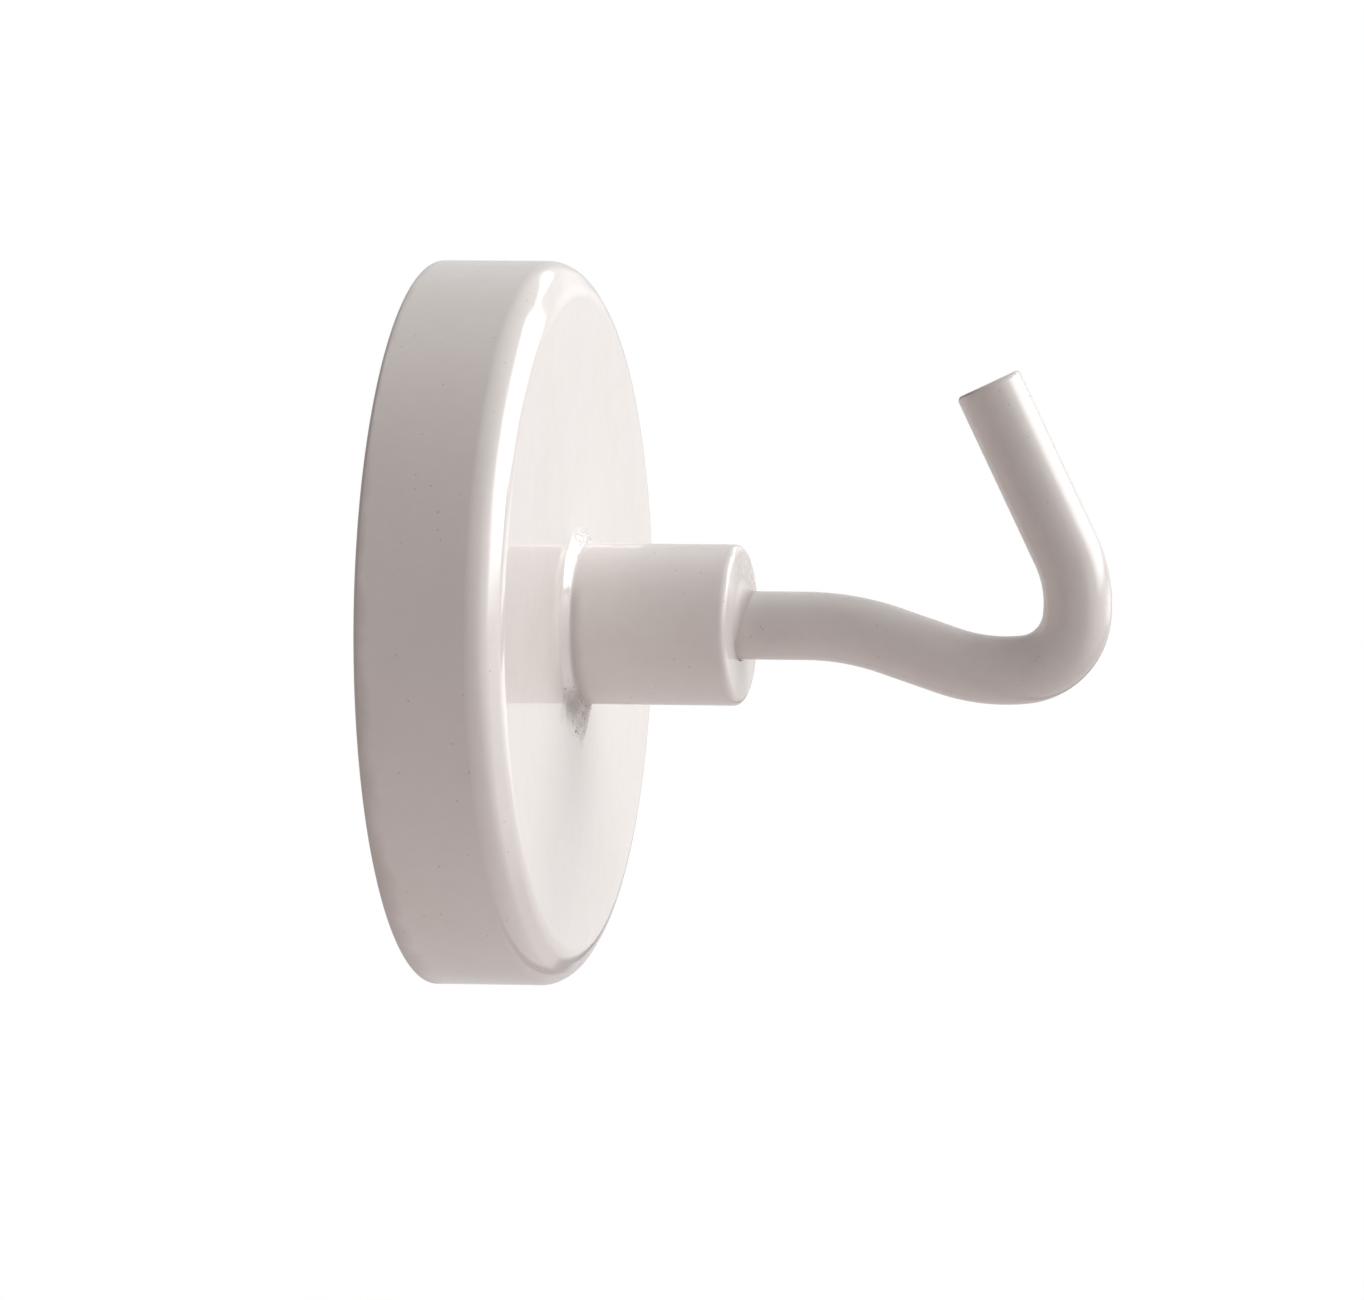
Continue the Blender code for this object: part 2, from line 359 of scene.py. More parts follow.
footDustAndShadeSet = {
    # a patch below the boss, drawn out to the camera's side, partly dust and partly painted shadow of the
    # boss: its two clouds by middle and reach across, out and up, where no reach out lets it run as far out
    # as patchOut says
    "patches": [
        ((-0.2 * mm, 0, -4.2 * mm), (1.7 * mm, 0, 1.9 * mm)),
        ((-2.5 * mm, 0, -3.8 * mm), (2.0 * mm, 0, 1.3 * mm)),
    ],
    "patchEdge": (1.1, 0.15),                   # in reaches from the middle: where it starts, and is full
    "patchWander": 0.18, "wanderScale": 900,    # how far that edge wanders
    "patchOut": (0.9 * mm, 0.3 * mm),           # out from the pot's face: where it starts, and is full
    "patchShare": 0.8,
    # a line of painted shade in the crease where the boss leaves its fillet, all round but the top: out
    # from the pot's face again, its side towards the pot, then its side towards the mouth, and how high up
    # it still shows
    "lineInner": (0.28 * mm, 0.46 * mm), "lineOuter": (1.15 * mm, 0.46 * mm),
    "lineHeights": (2.9 * mm, 1.4 * mm), "lineShare": 0.34,
}


def outFromPot(nodes, links, start, full):
    # a share that grows from nothing at start to all at full, both out from the pot's face
    return spread(nodes, links, placeAlong(nodes, links, yAxis), -potFront - start, -potFront - full)


def footDustAndShadow(nodes, links):
    # partly dust, partly painted shadow under the boss
    far = [farFrom(nodes, links, middle, reach) for middle, reach in footDustAndShadeSet["patches"]]
    nearest = maths(nodes, links, 'MINIMUM', *far)
    wander = footDustAndShadeSet["patchWander"]
    cloud = cloudy(nodes, links, footDustAndShadeSet["wanderScale"], 3, -wander, wander)
    patch = spread(nodes, links, maths(nodes, links, 'ADD', nearest, cloud), *footDustAndShadeSet["patchEdge"])
    low = outFromPot(nodes, links, *footDustAndShadeSet["patchOut"])
    return multiply(nodes, links, patch, low, footDustAndShadeSet["patchShare"])


def footCreaseShade(nodes, links):
    # painted shade in the crease at the boss's foot, strongest low down
    inner = outFromPot(nodes, links, *footDustAndShadeSet["lineInner"])
    outer = outFromPot(nodes, links, *footDustAndShadeSet["lineOuter"])
    below = spread(nodes, links, placeAlong(nodes, links, zAxis),
                   *footDustAndShadeSet["lineHeights"], 0.0, footDustAndShadeSet["lineShare"])
    return multiply(nodes, links, inner, outer, below)


# pot: the drawn cup, lacquered outside, its rim ground flat

potSet = {
    # the drawn front edge: a flattish cone between a round into the side and a round into the face
    "coneReach": 1.46 * mm, "coneDrop": 0.92 * mm, "sideRound": 1.40 * mm, "faceRound": 1.35 * mm,
    "rimRound": 0.25 * mm, "wall": 1.6 * mm, "floor": 1.5 * mm, "insideRound": 0.4 * mm,
    "hole": 3.1 * mm, "steps": 256, "longestEdge": 1.5 * mm,
    # the bare ground rim: how far the coat's ragged edge wanders up from it, and how softly it ends
    "coatWander": 0.07 * mm, "wanderScale": 700, "coatEdge": (-0.01 * mm, 0.02 * mm),
    # painted shade along the back edge, wider low down: its reach from the wall at two heights, and how
    # that varies
    "rimShadeHeights": (-16 * mm, 14 * mm), "rimShadeReach": (1.25 * mm, 0.45 * mm),
    "rimShadeRagged": (0.7, 1.3), "raggedScale": 420,
    "rimShadeFade": (0.0, 1.1), "rimShadeShare": 0.45,                    # 0 where that reach ends, 1 at the wall
    "lineDepths": (-0.26 * mm, -0.12 * mm), "lineShare": 0.5,     # and a line of it at the rim
}


def rimWear(nodes, links):
    depth = placeAlong(nodes, links, yAxis)
    edge = cloudy(nodes, links, potSet["wanderScale"], 4, -potSet["coatWander"], 0.0, 0.25, 0.75)
    above = maths(nodes, links, 'SUBTRACT', depth, edge)
    return spread(nodes, links, above, *potSet["coatEdge"])


def rimPaintedShade(nodes, links):
    # painted shade along the pot's back edge, wider low down, with a darker line at the rim
    depth = placeAlong(nodes, links, yAxis)
    height = placeAlong(nodes, links, zAxis)
    reach = spread(nodes, links, height, *potSet["rimShadeHeights"], *potSet["rimShadeReach"])
    ragged = cloudy(nodes, links, potSet["raggedScale"], 4, *potSet["rimShadeRagged"])
    reach = multiply(nodes, links, reach, ragged)
    near = maths(nodes, links, 'ADD', 1, maths(nodes, links, 'DIVIDE', depth, reach))
    wide = spread(nodes, links, near, *potSet["rimShadeFade"], 0.0, potSet["rimShadeShare"])
    line = spread(nodes, links, depth, *potSet["lineDepths"], 0.0, potSet["lineShare"])
    return maths(nodes, links, 'MAXIMUM', wide, line)


def potShadeAndDust(nodes, links):
    # the painted shade along the rim, and the patch of dust and painted shadow below the boss
    return maths(nodes, links, 'MAXIMUM', rimPaintedShade(nodes, links), footDustAndShadow(nodes, links))


def makePot(settings):
    outside = potHigh.x
    inside = outside - settings["wall"]
    floorBack = potFront - settings["floor"]
    points = [
        (settings["hole"], potFront),
        (outside - settings["coneReach"], potFront),
        (outside, potFront - settings["coneDrop"]),
        (outside, 0),
        (inside, 0),
        (inside, floorBack),
        (settings["hole"], floorBack),
    ]
    bm, corners = drawSection(points, True)
    roundCorner(bm, corners[1], settings["faceRound"], 10)
    roundCorner(bm, corners[2], settings["sideRound"], 14)
    roundCorner(bm, corners[3], settings["rimRound"], 7)
    roundCorner(bm, corners[4], settings["rimRound"], 5)
    roundCorner(bm, corners[5], settings["insideRound"], 4)
    cutLongEdges(bm, settings["longestEdge"])
    spinRound(bm, settings["steps"])
    material = makeLacquer("potLacquer", lacquerSet, potShadeAndDust, rimWear)
    finishPiece(bm, "potShell", material, "pot", ["steel_cup"])


# bush: the boss in front of the pot, with the coat's fillet round its foot, bubbly above and run down below

bossSet = {
    "radius": 4.0 * mm, "edgeRound": 0.40 * mm, "bore": 1.76 * mm, "mouthRound": 0.12 * mm,
    "spigot": 2.8 * mm,
    "footReach": 0.66 * mm, "footRise": 0.42 * mm,     # the fillet as it stands at the sides
    "footRound": 0.25 * mm, "skirtRound": 0.5 * mm,    # its round into the boss, and into the pot's face
    "footMargin": 0.2 * mm,                            # how far above it the coat can still be moved
    "skin": 0.006 * mm, "skinReach": 0.6 * mm,         # how the coat thins out on the pot's face
    "tuck": 3,                                         # how many skins its edge lies under that face
    "falloff": 1.6,                                    # how fast the run and the foam die away sideways
    "runLength": 1.1 * mm, "runHalfWidth": 0.42,       # the run below, and half its width in radians
    "runTaper": 1.4, "runStraight": 0.6,               # how late it draws out, and how little it fans out
    "foamLength": 0.05 * mm, "foamHalfWidth": 0.60,    # the thick bubbly part above
    "foamGrain": 0.16 * mm, "foamHeight": 0.14 * mm,   # its bubbles
    "foamEdge": 0.05 * mm, "foamOut": 0.6,             # where they are full, and how far they push outwards
    "steps": 320, "longestEdge": 0.8 * mm, "longestAtFoot": 0.09 * mm,
    # painted shade on the boss's end face, in blotches: its share in them, how deep the mask goes, and how
    # the share changes from the camera's side to the far side and from low to high
    "endShare": (0.26, 0.46), "blotchScale": 650, "endDepths": (0.07 * mm, 0.01 * mm),
    "endSides": (-3.0 * mm, -0.6 * mm), "endSideShare": (0.1, 1.0),
    "endHeights": (-3.0 * mm, 3.0 * mm), "endHeightShare": (0.6, 1.25),
}


def endFaceShade(nodes, links):
    # painted shade on the boss's end face, standing in for a dim reflection
    blotch = cloudy(nodes, links, bossSet["blotchScale"], 3, *bossSet["endShare"])
    depths = [-bossMouth + depth for depth in bossSet["endDepths"]]
    end = spread(nodes, links, placeAlong(nodes, links, yAxis), *depths)
    beyond = spread(nodes, links, placeAlong(nodes, links, xAxis),
                    *bossSet["endSides"], *bossSet["endSideShare"])
    upper = spread(nodes, links, placeAlong(nodes, links, zAxis),
                   *bossSet["endHeights"], *bossSet["endHeightShare"])
    share = multiply(nodes, links, beyond, upper)
    return multiply(nodes, links, end, blotch, share)


def bossShadeAndDust(nodes, links):
    # painted shade on the end face and in the foot's crease, and the patch of dust and painted shadow below
    foot = maths(nodes, links, 'MAXIMUM', footCreaseShade(nodes, links), footDustAndShadow(nodes, links))
    return maths(nodes, links, 'MAXIMUM', endFaceShade(nodes, links), foot)


def onFoot(place, settings):
    # outside the boss, from just under the coat's tucked edge to a little above the fillet
    height = -place.y - potFront
    lowest = -(settings["tuck"] + 1) * settings["skin"]
    outside = math.hypot(place.x, place.z) > settings["radius"] - 0.01 * mm
    return outside and lowest < height < settings["footRise"] + settings["footMargin"]


def layCoat(bm, settings):
    # before it set the coat ran down from the foot, and above the boss it stood thick and full of bubbles
    for vert in bm.verts:
        if not onFoot(vert.co, settings):
            continue
        radius = math.hypot(vert.co.x, vert.co.z)
        around = aroundAxis(vert.co)
        fromTop = (math.pi - abs(around)) / settings["foamHalfWidth"]
        run = math.exp(-settings["falloff"] * (around / settings["runHalfWidth"]) ** 2)
        foam = math.exp(-settings["falloff"] * fromTop ** 2)
        share = min(1, max(0, (radius - settings["radius"]) / settings["footReach"]))
        longer = settings["runLength"] * run + settings["foamLength"] * foam
        longer *= share ** settings["runTaper"]
        height = -vert.co.y - potFront
        bubble = max(0, noise.noise(vert.co / settings["foamGrain"])) * foam * settings["foamHeight"]
        lift = bubble * min(1, height / settings["foamEdge"]) if height > 0 else 0
        vert.co.y -= lift
        grow = 1 + (longer + lift * settings["foamOut"]) / radius
        vert.co.x *= 1 + (grow - 1) * (1 - settings["runStraight"] * run)
        vert.co.z *= grow


def makeBoss(settings):
    foot = settings["radius"] + settings["footReach"]
    tucked = potFront - settings["tuck"] * settings["skin"]
    spigotEnd = potFront - potSet["floor"]
    points = [
        (settings["bore"], bossMouth),
        (settings["radius"], bossMouth),
        (settings["radius"], potFront + settings["footRise"]),
        (foot, potFront + settings["skin"]),
        (foot + settings["skinReach"], tucked),
        (settings["spigot"], tucked),
        (settings["spigot"], spigotEnd),
        (settings["bore"], spigotEnd),
    ]
    bm, corners = drawSection(points, True)
    roundCorner(bm, corners[0], settings["mouthRound"], 4)
    roundCorner(bm, corners[1], settings["edgeRound"], 9)
    roundCorner(bm, corners[2], settings["footRound"], 6)
    roundCorner(bm, corners[3], settings["skirtRound"], 5)
    cutLongEdges(bm, settings["longestAtFoot"], near=lambda middle: onFoot(middle, settings))
    cutLongEdges(bm, settings["longestEdge"])
    spinRound(bm, settings["steps"])
    layCoat(bm, settings)
    surface = BVHTree.FromBMesh(bm)
    material = makeLacquer("bossLacquer", lacquerSet, bossShadeAndDust)
    finishPiece(bm, "boss", material, "pot", ["threaded_bush"])
    return surface


# hook: one round wire, bent in the upright plane

hookSet = {
    "radius": 1.697 * mm, "endRound": 0.25 * mm, "neck": 3.3 * mm,
    "shankStart": 6.1 * mm,    # out from the wall, inside the bush
    # each bend as straight run before it, bend radius, and angle in degrees, positive upwards;
    # the first run has no length here, because it goes from the shank's start to the neck's end
    "legs": [
        (None, 13.3 * mm, -18.5),
        (3.0 * mm, 9.2 * mm, 25),
        (0, 3.0 * mm, 75.5),
        (0, 6.0 * mm, 33),
        (9.1 * mm, 0, 0),
    ],
    "sides": 72, "bendStep": 2.0,
    # the colour darkens towards the crook and the tip: measured outwards and up together
    "darkerWay": (0, -0.7, 0.7), "darkerFrom": (17 * mm, 21 * mm), "darkerShare": 0.12,
    # dirt on the cut end: how deep, how far across it to the outside and the inside, and how much there
    "cutDepths": (0.16 * mm, 0.04 * mm), "cutSides": (-0.3 * mm, 0.9 * mm), "cutShare": (0.15, 1.0),
}


def hookDirtAndDarkening(nodes, links, end, ahead):
    # darker towards the crook and the tip, and dirt on the cut end
    outwards = alongLine(nodes, links, Vector(hookSet["darkerWay"]))
    darker = spread(nodes, links, outwards, *hookSet["darkerFrom"], 0.0, hookSet["darkerShare"])
    depths = [end.dot(ahead) - depth for depth in hookSet["cutDepths"]]
    cut = spread(nodes, links, alongLine(nodes, links, ahead), *depths)
    inwards = ahead.cross(Vector((1, 0, 0)))
    sides = [end.dot(inwards) + side for side in hookSet["cutSides"]]
    inner = spread(nodes, links, alongLine(nodes, links, inwards), *sides, *hookSet["cutShare"])
    return maths(nodes, links, 'MAXIMUM', darker, multiply(nodes, links, cut, inner))


def makeHook(settings):
    bm = bmesh.new()
    place = Vector((0, -settings["shankStart"], 0))
    lay = Matrix.Translation(place) @ Matrix.Rotation(math.radians(90), 4, 'X')
    bmesh.ops.create_circle(bm, cap_ends=False, radius=settings["radius"], segments=settings["sides"],
                            matrix=lay)
    ring = bm.edges[:]
    firstRing = ring
    heading = 0.0
    for straight, bendRadius, bendAngle in settings["legs"]:
        if straight is None:
            straight = bossMouth + settings["neck"] - settings["shankStart"]
        ahead = Vector((0, -math.cos(heading), math.sin(heading)))
        if straight > 0:
            made = bmesh.ops.extrude_edge_only(bm, edges=ring)["geom"]
            ring = [item for item in made if isinstance(item, bmesh.types.BMEdge)]
            moved = [item for item in made if isinstance(item, bmesh.types.BMVert)]
            bmesh.ops.translate(bm, verts=moved, vec=ahead * straight)
            place = place + ahead * straight
        if bendAngle:
            angle = math.radians(bendAngle)
            up = Vector((0, math.sin(heading), math.cos(heading)))
            centre = place + up * math.copysign(bendRadius, angle)
            ringVerts = list({vert for edge in ring for vert in edge.verts})
            made = bmesh.ops.spin(bm, geom=ringVerts + ring, cent=centre, axis=(-1, 0, 0), dvec=(0, 0, 0),
                                  angle=angle, steps=math.ceil(abs(bendAngle) / settings["bendStep"]),
                                  use_merge=False, use_normal_flip=False, use_duplicate=False)["geom_last"]
            ring = [item for item in made if isinstance(item, bmesh.types.BMEdge)]
            place = centre + Matrix.Rotation(-angle, 3, 'X') @ (place - centre)
            heading += angle
    for end in (firstRing, ring):
        bmesh.ops.edgeloop_fill(bm, edges=end)
    bmesh.ops.recalc_face_normals(bm, faces=bm.faces)
    caps = [face for face in bm.faces if len(face.verts) > 4]
    rims = [edge for face in caps for edge in face.edges]
    bmesh.ops.bevel(bm, geom=rims, offset=settings["endRound"], offset_type='OFFSET', segments=6,
                    profile=0.5, affect='EDGES', material=-1)
    ahead = Vector((0, -math.cos(heading), math.sin(heading)))
    material = makeLacquer("hookLacquer", hookShadedLacquerSet,
                           lambda nodes, links: hookDirtAndDarkening(nodes, links, place, ahead))
    finishPiece(bm, "hookWire", material, "hook", ["wire_hook"])


# magnet: the pressed and ground ferrite disc, dark and dull, its edge chamfered and chipped in places

magnetSet = {
    "chamfer": 0.3 * mm, "steps": 200, "longestEdge": 2.0 * mm,
    "chips": 9, "chipSizes": (0.35, 1), "chipDepth": 0.28 * mm,
    "chipHalfWidth": 0.05,     # in radians round the disc
    "chipSlope": 0.7,          # how much it takes off the back, against what it takes off the side
    "chipZone": 1.2,           # how far in from the edge a chip reaches, in chamfers
    "seed": 11,
    "colour": (0.030, 0.030, 0.033), "paler": (0.058, 0.057, 0.058), "paleScale": 140,
    "grain": (0.12, 0.12, 0.12), "grainScale": 2600, "grainRare": (0.62, 0.78),
    "pitScale": 900, "pitSize": (0.05, 0.14), "pitDepth": 0.02 * mm,
    "roughness": (0.36, 0.58),
}


def makeFerrite(settings):
    material, nodes, links, shader = newMaterial("groundFerrite")
    grain = objectNoise(nodes, links, settings["grainScale"], 4)
    patches = cloudy(nodes, links, settings["paleScale"], 3)
    base = blendColour(nodes, links, patches, settings["colour"], settings["paler"])
    rare = spread(nodes, links, grain, *settings["grainRare"])
    colour = blendColour(nodes, links, rare, base, settings["grain"])
    pits = spread(nodes, links, objectCells(nodes, links, settings["pitScale"])[0], *settings["pitSize"])
    lines = groundLines(nodes, links)
    ground = addBump(nodes, links, lines, grindingSet["depth"])
    pitted = addBump(nodes, links, pits, settings["pitDepth"], under=ground)
    rough = spread(nodes, links, lines, *grindingSet["tones"], *settings["roughness"])
    links.new(colour, shader.inputs["Base Color"])
    links.new(rough, shader.inputs["Roughness"])
    links.new(pitted, shader.inputs["Normal"])
    return material


def makeMagnet(settings):
    radius = magnetHigh.x
    front = -magnetLow.y
    points = [(0, front), (radius, front), (radius, 0), (0, 0)]
    bm, corners = drawSection(points, False)
    roundCorner(bm, corners[1], settings["chamfer"], 2)
    roundCorner(bm, corners[2], settings["chamfer"], 4)
    cutLongEdges(bm, settings["longestEdge"])
    spinRound(bm, settings["steps"])
    draw = random.Random(settings["seed"])
    chips = [(draw.uniform(-math.pi, math.pi), draw.uniform(*settings["chipSizes"]))
             for _ in range(settings["chips"])]
    zone = settings["chipZone"] * settings["chamfer"]
    for vert in bm.verts:
        nearSide = math.hypot(vert.co.x, vert.co.z) > radius - zone
        nearBack = vert.co.y > -zone
        if not (nearSide and nearBack):
            continue
        for angle, size in chips:
            away = (math.atan2(vert.co.x, vert.co.z) - angle + math.pi) % (2 * math.pi) - math.pi
            bite = size * math.exp(-(away / settings["chipHalfWidth"]) ** 2) * settings["chipDepth"]
            vert.co.y -= bite * settings["chipSlope"]
            vert.co.x *= 1 - bite / radius
            vert.co.z *= 1 - bite / radius
    finishPiece(bm, "ferriteMagnet", makeFerrite(settings), "pot", ["ferrite_disc"])


# resin: the cured ring between magnet and wall, dipping where it shrank, and the film under the magnet

resinSet = {
    "top": 0.16 * mm, "dip": 0.34 * mm, "dipRound": 0.5 * mm, "film": 0.3 * mm,
    "gap": 0.01 * mm,          # from the pot and the magnet
    "steps": 200, "longestEdge": 2.0 * mm,
    # waves in its surface: how many go round in each set, how strong each is, and a share for all together
    "waveCounts": (2, 3, 5, 8, 13), "waveSizes": (0.3, 1), "wave": 0.05 * mm, "waveShare": 0.4,
    "waveDepth": 1.5 * mm,     # how far in from the wall the ring is moved by them
    "seed": 5,
    "colour": (0.17, 0.10, 0.045), "paler": (0.26, 0.17, 0.085), "paleScale": 400,    # brown amber
    "bubbleScale": 800, "bubbleSize": (0.04, 0.16), "bubbleDepth": 0.03 * mm,
    "swellScale": 500, "swellDepth": 0.08 * mm,
    "roughness": (0.14, 0.3), "ior": 1.54,
}


def makeResin(settings):
    material, nodes, links, shader = newMaterial("curedResin")
    cloud = cloudy(nodes, links, settings["paleScale"], 3, low=0.35)
    colour = blendColour(nodes, links, cloud, settings["colour"], settings["paler"])
    cells = objectCells(nodes, links, settings["bubbleScale"])[0]
    bubbles = spread(nodes, links, cells, *settings["bubbleSize"])
    waves = objectNoise(nodes, links, settings["swellScale"], 2)
    swell = addBump(nodes, links, waves, settings["swellDepth"])
    bubbled = addBump(nodes, links, bubbles, settings["bubbleDepth"], under=swell)
    rough = spread(nodes, links, cloud, 0, 1, *settings["roughness"])
    links.new(colour, shader.inputs["Base Color"])
    links.new(rough, shader.inputs["Roughness"])
    links.new(bubbled, shader.inputs["Normal"])
    shader.inputs["IOR"].default_value = settings["ior"]
    return material


def makeResinRing(settings):
    outside = potHigh.x - potSet["wall"] - settings["gap"]
    inside = magnetHigh.x + settings["gap"]
    filmFront = potFront - potSet["floor"] - settings["gap"]
    filmBack = filmFront - settings["film"]
    middle = (outside + inside) / 2
    points = [
        (0, filmFront), (outside, filmFront), (outside, settings["top"]),
        (middle, settings["top"] + settings["dip"]),
        (inside, settings["top"]), (inside, filmBack), (0, filmBack),
    ]
    bm, corners = drawSection(points, False)
    roundCorner(bm, corners[1], potSet["insideRound"], 4)
    roundCorner(bm, corners[3], settings["dipRound"], 8)
    cutLongEdges(bm, settings["longestEdge"])
    spinRound(bm, settings["steps"])
    draw = random.Random(settings["seed"])
    waves = [(count, draw.uniform(0, 2 * math.pi), draw.uniform(*settings["waveSizes"]))
             for count in settings["waveCounts"]]
    for vert in bm.verts:
        if vert.co.y > -settings["waveDepth"]:
            angle = math.atan2(vert.co.x, vert.co.z)
            lift = sum(size * math.sin(count * angle + start) for count, start, size in waves)
            vert.co.y += lift * settings["wave"] * settings["waveShare"]
    finishPiece(bm, "resinRing", makeResin(settings), "pot", ["potting_resin"])


# lacquer at the mouth: where the wire's coat and the boss's coat ran together, thick above and broken below

mouthSet = {
    "rise": 1.15 * mm, "reach": 0.90 * mm, "round": 0.76 * mm,
    "skin": 0.03 * mm, "corner": 1.5,       # how deep its edges sink in, and in skins where its corner is
    "root": 0.5 * mm,                       # how far it goes into the bush
    "least": 0.04, "broken": 0.35,          # what is left below, and how far down it fades out
    "fade": 0.7,                            # below 1, it stays thick for longer on the way down
    "steps": 160, "longestEdge": 0.2 * mm,
    "hollowShadeHeights": (0.5 * mm, 2.1 * mm), "hollowShadeShare": 0.5,    # painted shade in the hollow above the wire
}


def mouthHollowShade(nodes, links):
    # painted shade in the hollow above the wire, stronger higher up
    return spread(nodes, links, placeAlong(nodes, links, zAxis),
                  *mouthSet["hollowShadeHeights"], 0.0, mouthSet["hollowShadeShare"])


def makeMouthLacquer(settings):
    wire = hookSet["radius"]
    skin = settings["skin"]
    corner = settings["corner"] * skin
    points = [
        (wire - skin, bossMouth + settings["rise"]),
        (wire + corner, bossMouth + corner),
        (wire + settings["reach"], bossMouth - skin),
        (wire - skin, bossMouth - settings["root"]),
    ]
    bm, corners = drawSection(points, True)
    roundCorner(bm, corners[1], settings["round"], 18)
    cutLongEdges(bm, settings["longestEdge"])
    spinRound(bm, settings["steps"])
    for vert in bm.verts:
        up = -math.cos(aroundAxis(vert.co))
        share = max(0, (up + settings["broken"]) / (1 + settings["broken"])) ** settings["fade"]
        share = settings["least"] + (1 - settings["least"]) * share
        out = -vert.co.y - bossMouth
        radius = math.hypot(vert.co.x, vert.co.z)
        if out > 0:
            vert.co.y = -(bossMouth + out * share)
        if radius > wire:
            slimmer = (wire + (radius - wire) * share) / radius
            vert.co.x *= slimmer
            vert.co.z *= slimmer
    material = makeLacquer("mouthLacquer", mouthShadedLacquerSet, mouthHollowShade)
    finishPiece(bm, "mouthLacquer", material, "pot")


# specks caught in the run below the boss, and a few in the bubbly part above

speckSet = {
    # angles in radians from straight down, positive towards the camera's side; radii, sizes in millimetres
    "clusters": [
        {"count": 64, "angle": 0.30, "width": 0.28, "radii": (4.05, 5.7), "sizes": (0.018, 0.05)},
        {"count": 9, "angle": -2.95, "width": 0.14, "radii": (4.15, 4.9), "sizes": (0.015, 0.04)},
    ],
    "crowding": 1.3,           # above 1, more of them lie close to the boss
    "flatness": 0.6, "seed": 3,
    "colour": (0.22, 0.185, 0.165), "paler": (0.42, 0.37, 0.34), "paleScale": 3000, "roughness": 0.4,
}


def makeSpecks(settings, surface):
    draw = random.Random(settings["seed"])
    bm = bmesh.new()
    flat = Matrix.Diagonal((1, settings["flatness"], 1, 1))
    for cluster in settings["clusters"]:
        low, high = cluster["radii"]
        for _ in range(cluster["count"]):
            angle = draw.gauss(cluster["angle"], cluster["width"])
            radius = (low + (high - low) * draw.random() ** settings["crowding"]) * mm
            size = draw.uniform(*cluster["sizes"]) * mm
            above = Vector((-math.sin(angle) * radius, -bossMouth, -math.cos(angle) * radius))
            seat = surface.ray_cast(above, Vector((0, 1, 0)))[0]
            if seat is None:
                seat = Vector((above.x, -potFront, above.z))
            bmesh.ops.create_uvsphere(bm, u_segments=10, v_segments=6, radius=size,
                                      matrix=Matrix.Translation(seat) @ flat)
    material, nodes, links, shader = newMaterial("speckGrains")
    tone = cloudy(nodes, links, settings["paleScale"], 1)
    colour = blendColour(nodes, links, tone, settings["colour"], settings["paler"])
    links.new(colour, shader.inputs["Base Color"])
    shader.inputs["Roughness"].default_value = settings["roughness"]
    finishPiece(bm, "dustSpecks", material, "pot")


# studio: softboxes in front and to the far side, fill from a white sweep in front, above and below,
# and a white background for what the lens and the gloss see

studioSet = {
    # lengths in metres
    "floorDrop": 0.16, "floorSize": 6.0, "floorColour": (0.9, 0.9, 0.9), "floorRoughness": 0.9,
    # how much of the floor's own shading shows, and how far out
    "shadowNear": 0.25, "shadowFar": 0.9, "shadowShare": 0.12,
    # fill for the matt colour: off the floor, from above, and level from the front, behind and the far side
    "fillTint": (1.0, 0.886, 0.867),
    "fillBelow": 0.585, "fillAbove": 0.19, "fillFront": 0.28, "fillBehind": 0.88, "fillFarSide": 0.90,
    # a turn is how far a direction points back to the wall, from -1 to 1: the fill is tinted down to the
    # first of these and white from the second on
    "whiteTurn": (0.1, -0.3),
    # what the gloss sees behind the pot, and how much light is added straight in front, for the sweep
    "glossBehind": 0.70, "behindTurn": (-0.05, 0.05),
    "glossFront": 1.7, "frontTurn": (-0.62, -0.93),
    # the dark seam between sweep and wall that the gloss sees in the floor: how far in front of the pot's
    # back, how much it bends off to the far side and up to where, and how soft the wall begins
    "seamOut": 0.008, "seamBend": 0.2, "seamBendTo": 0.35, "wallSoft": 0.004,
    # how dark it is and how wide, each from one distance across to another, and where its edge starts
    # and is full, in widths from its middle
    "seamShare": (0.40, 0.95), "seamShareAt": (-0.02, 0.1),
    "seamWidth": (0.014, 0.05), "seamWidthAt": (0.0, 0.6), "seamEdge": (1.0, 0.5),
}

softboxSet = {
    # azimuths from straight in front of the pot, positive away from the camera's side, and elevations,
    # in degrees, as the hook sees a panel's edges: first where its light begins, then where it is full.
    # the soft ones light the matt colour, the ones that show are only seen in the gloss
    "overheadSoftbox": {
        "facing": 20, "left": (-27, -22), "right": (67, 62), "low": (39, 42), "high": (63, 60),
        "radiance": 5.6, "shows": False,
    },
    "lowSoftbox": {
        "facing": 5, "left": (-32, -27), "right": (42, 37), "low": (-14.5, -12), "high": (6, 2),
        "radiance": 2.2, "shows": False,
    },
    "frontPanel": {
        "facing": 38, "left": (-12, 14), "right": (64, 57), "low": (3, 12), "high": (43, 33),
        "tilt": 8, "radiance": 6.0, "shows": True,
    },
    "sidePanelHigh": {
        "facing": 75, "left": (54, 60), "right": (90, 78), "low": (19, 25), "high": (34, 29),
        "radiance": 2.6, "shows": True,
    },
    "sidePanelLow": {
        "facing": 72, "left": (64, 70), "right": (84, 76), "low": (-2, 4), "high": (15, 9),
        "radiance": 0.35, "shows": True,
    },
    "lowPanel": {
        "facing": 50, "left": (24, 44), "right": (66, 56), "low": (-14, -9), "high": (2, -4),
        "radiance": 2.0, "shows": True,
    },
}

softboxDistance = 0.6
softboxColour = (1.0, 1.0, 0.99)
white = (1.0, 1.0, 1.0)
black = (0.0, 0.0, 0.0)


